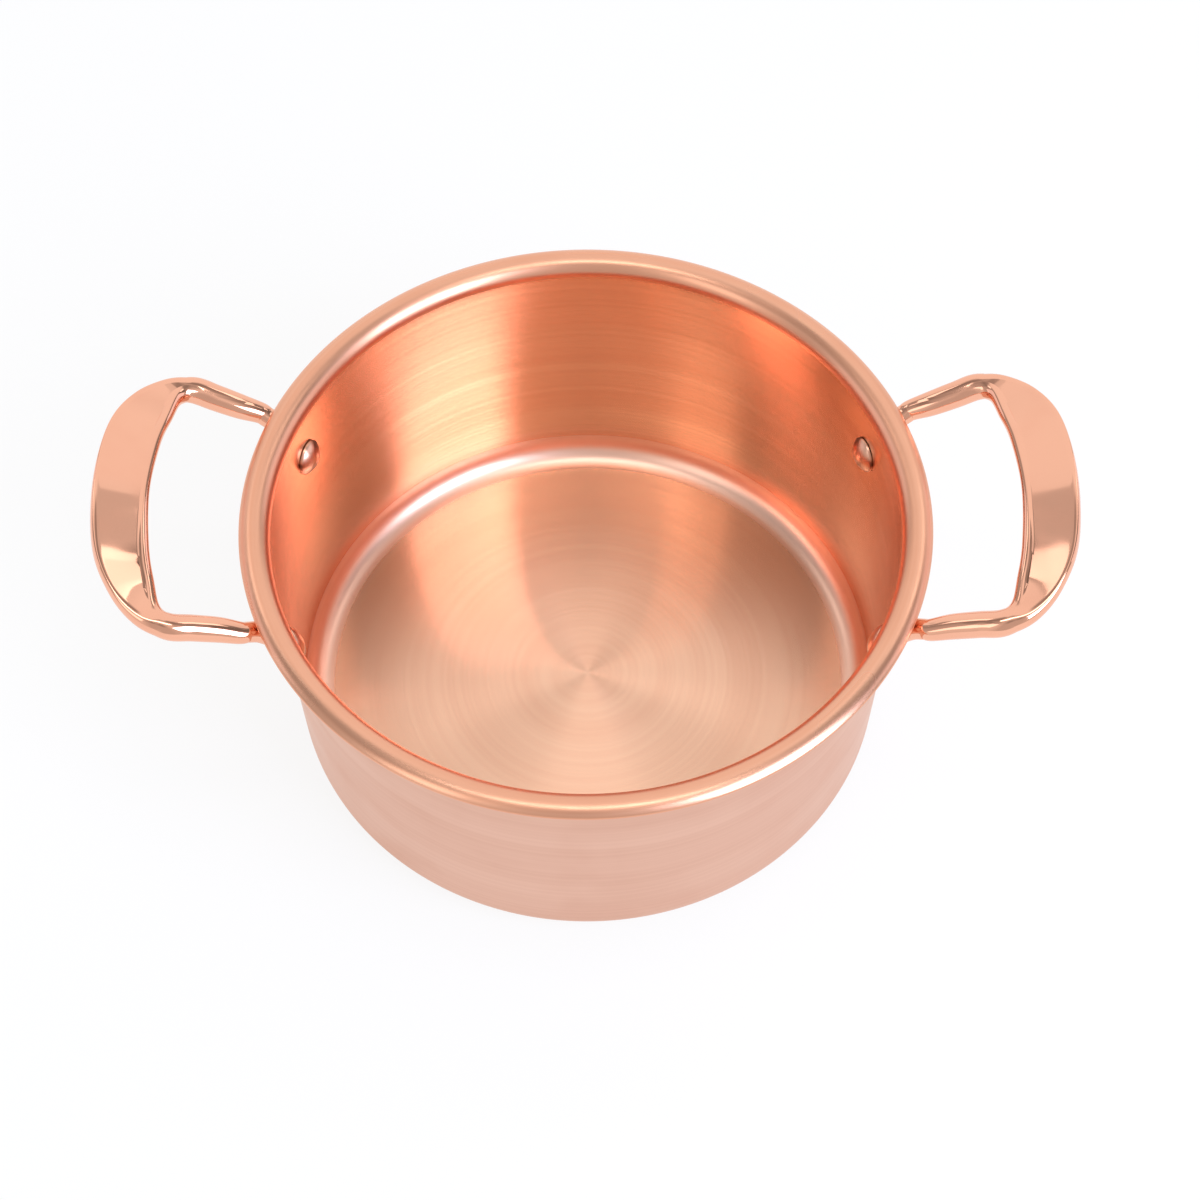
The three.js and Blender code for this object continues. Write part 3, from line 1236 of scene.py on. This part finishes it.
@dataclass
class Studio:
    """A white sweep under a dimmer ceiling, with soft lamps.

    Attributes:
        softboxes: The lamps.
        floor_reach: Half the floor's side.
        floor_gap: Gap between the floor and the pot.
        floor_tone: Tone of the floor's paper.
        floor_white: Share of the floor's brightness that no shadow takes away.
        wall_tones: Brightness of the walls by degrees round the pot, from 0 at the back by way of 90 on
            the right.
        cove_tones: Brightness of the cove between the walls and the ceiling, in the same way.
        ceiling_tones: Brightness of the ceiling, in the same way.
        cove_start: Elevation where the walls end and the cove starts.
        ceiling_start: Elevation where the cove ends and the ceiling starts.
        zenith_start: Elevation where the ceiling starts to turn to one tone.
        cove_span: Degrees over which the walls turn to the cove.
        ceiling_span: Degrees over which the cove turns to the ceiling.
        zenith_span: Degrees over which the ceiling turns to one tone.
        zenith: Brightness of the ceiling over the pot.
    """

    softboxes: tuple[Softbox, ...] = LAMPS
    floor_reach: float = 3.0
    floor_gap: float = 0.05 * MM
    floor_tone: float = 0.92
    floor_white: float = 0.85
    wall_tones: Tones = (
        (-180, 0.6),
        (-165, 0.6),
        (-148, 0.8),
        (-130, 0.85),
        (-112, 0.55),
        (-90, 0.5),
        (-70, 0.35),
        (-45, 0.45),
        (-40, 0.95),
        (-20, 1.0),
        (30, 1.0),
        (42, 0.9),
        (48, 0.3),
        (60, 0.2),
        (85, 0.2),
        (104, 0.5),
        (150, 0.7),
        (165, 0.6),
        (180, 0.6),
    )
    cove_tones: Tones = (
        (-180, 0.42),
        (-150, 0.7),
        (-115, 0.35),
        (-60, 0.3),
        (-48, 0.62),
        (-36, 0.62),
        (-23, 1.0),
        (23, 1.0),
        (36, 0.68),
        (48, 0.68),
        (60, 0.35),
        (90, 0.4),
        (140, 0.9),
        (180, 0.42),
    )
    ceiling_tones: Tones = (
        (-180, 0.32),
        (-150, 0.7),
        (-115, 0.5),
        (-90, 0.44),
        (-62, 0.28),
        (-32, 0.4),
        (-23, 1.0),
        (23, 1.0),
        (32, 0.35),
        (60, 0.3),
        (78, 0.4),
        (92, 0.5),
        (140, 0.9),
        (180, 0.32),
    )
    cove_start: float = 49.8
    ceiling_start: float = 56.0
    zenith_start: float = 66.0
    cove_span: float = 0.5
    ceiling_span: float = 2.0
    zenith_span: float = 16.0
    zenith: float = 0.95

    def build(self) -> None:
        """Makes the floor, the world, the lamps and the camera."""
        self.floor()
        self.world()
        for softbox in self.softboxes:
            softbox.build()
        self.camera()

    def floor(self) -> None:
        """Makes a plain white floor that keeps a soft shadow."""
        reach = self.floor_reach
        corners = [(-reach, -reach, 0), (reach, -reach, 0), (reach, reach, 0), (-reach, reach, 0)]
        floor = new_piece("floor", np.array(corners), [(0, 1, 2, 3)])
        floor.location.z = -self.floor_gap
        paper = bpy.data.materials.new("white_paper")
        paper.use_nodes = True
        bench = NodeBench(paper.node_tree)
        tone = self.floor_tone
        lit = bench.add("ShaderNodeBsdfDiffuse", {"Color": (tone, tone, tone, 1)})
        white = bench.add("ShaderNodeEmission", {"Color": (1, 1, 1, 1), "Strength": 1.0})
        rays = bench.add("ShaderNodeLightPath")
        seen = bench.math("MAXIMUM", rays.outputs["Is Camera Ray"], rays.outputs["Is Glossy Ray"])
        share = bench.math("MULTIPLY", seen, self.floor_white)
        mix = bench.add("ShaderNodeMixShader", {0: share, 1: lit.outputs[0], 2: white.outputs[0]})
        bench.add("ShaderNodeOutputMaterial", {"Surface": mix.outputs[0]})
        floor.data.materials.append(paper)

    def world(self) -> None:
        """Makes the surroundings: white to the camera, and a room of several tones to the metal."""
        world = bpy.data.worlds.new("studio")
        bpy.context.scene.world = world
        world.use_nodes = True
        bench = NodeBench(world.node_tree)
        way = bench.add("ShaderNodeSeparateXYZ", {0: bench.add("ShaderNodeTexCoord").outputs["Generated"]})
        azimuth = bench.math("ARCTAN2", way.outputs["X"], way.outputs["Y"])
        around = bench.math("MULTIPLY_ADD", azimuth, 0.5 / math.pi, 0.5)
        height = bench.math("ARCSINE", way.outputs["Z"])
        walls, cove, ceiling = (
            bench.ramp(around, [(angle / 360 + 0.5, tone) for angle, tone in tones])
            for tones in (self.wall_tones, self.cove_tones, self.ceiling_tones)
        )
        zenith = (self.zenith, self.zenith, self.zenith, 1)
        room = bench.blend(self.over(bench, height, self.cove_start, self.cove_span), walls, cove)
        room = bench.blend(self.over(bench, height, self.ceiling_start, self.ceiling_span), room, ceiling)
        room = bench.blend(self.over(bench, height, self.zenith_start, self.zenith_span), room, zenith)
        rays = bench.add("ShaderNodeLightPath")
        shown = bench.blend(rays.outputs["Is Camera Ray"], room, (1, 1, 1, 1))
        back = bench.add("ShaderNodeBackground", {"Color": shown, "Strength": 1.0})
        bench.add("ShaderNodeOutputWorld", {"Surface": back.outputs[0]})

    @staticmethod
    def over(bench: NodeBench, height: Socket, start: float, span: float) -> Socket:
        """Share that rises from 0 to 1 over a span of elevation.

        Args:
            bench: The tree to work in.
            height: Elevation in radians.
            start: Elevation where the share leaves 0, in degrees.
            span: Degrees up to where it reaches 1.

        Returns:
            The share.
        """
        inputs = {"Value": height, "From Min": math.radians(start), "From Max": math.radians(start + span)}
        return bench.add("ShaderNodeMapRange", inputs).outputs[0]

    def camera(self) -> None:
        """Sets the camera at the photograph's angle."""
        elevation = math.radians(56.77)
        roll = math.radians(-0.25)
        aim = Vector((3.98 * MM, -29.99 * MM, 89.37 * MM))
        distance = 700 * MM
        frame_pixels, focal_pixels = 1200, 2482.3
        right = Vector((1, 0, 0))
        back = Vector((0, -math.cos(elevation), math.sin(elevation)))
        turned = Matrix.Rotation(roll, 3, back) @ Matrix((right, back.cross(right), back)).transposed()
        lens = bpy.data.cameras.new("camera")
        lens.sensor_width = 36
        lens.lens = lens.sensor_width * focal_pixels / frame_pixels
        lens.clip_start = 0.01
        camera = bpy.data.objects.new("camera", lens)
        bpy.context.scene.collection.objects.link(camera)
        camera.matrix_world = Matrix.Translation(aim + back * distance) @ turned.to_4x4()
        bpy.context.scene.camera = camera


def main() -> None:
    """Builds the pot and the studio round it."""
    logging.basicConfig(level=logging.INFO, format="%(name)s: %(message)s")
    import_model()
    scene = bpy.context.scene
    scene.view_settings.view_transform = "Standard"
    Studio().build()
    vessel = Vessel.from_frame()
    rivets = RivetSet(vessel)
    handle = LoopHandle(vessel, rivets)
    pieces = [
        vessel.build(rivets, VESSEL_COPPER),
        *(handle.build(side, HANDLE_COPPER) for side in Side),
        *rivets.build(RIVET_COPPER),
    ]
    for piece in pieces:
        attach(piece, BODY)
        LOG.info("%s: %d faces", piece.name, len(piece.data.polygons))


if __name__ == "__main__":
    main()
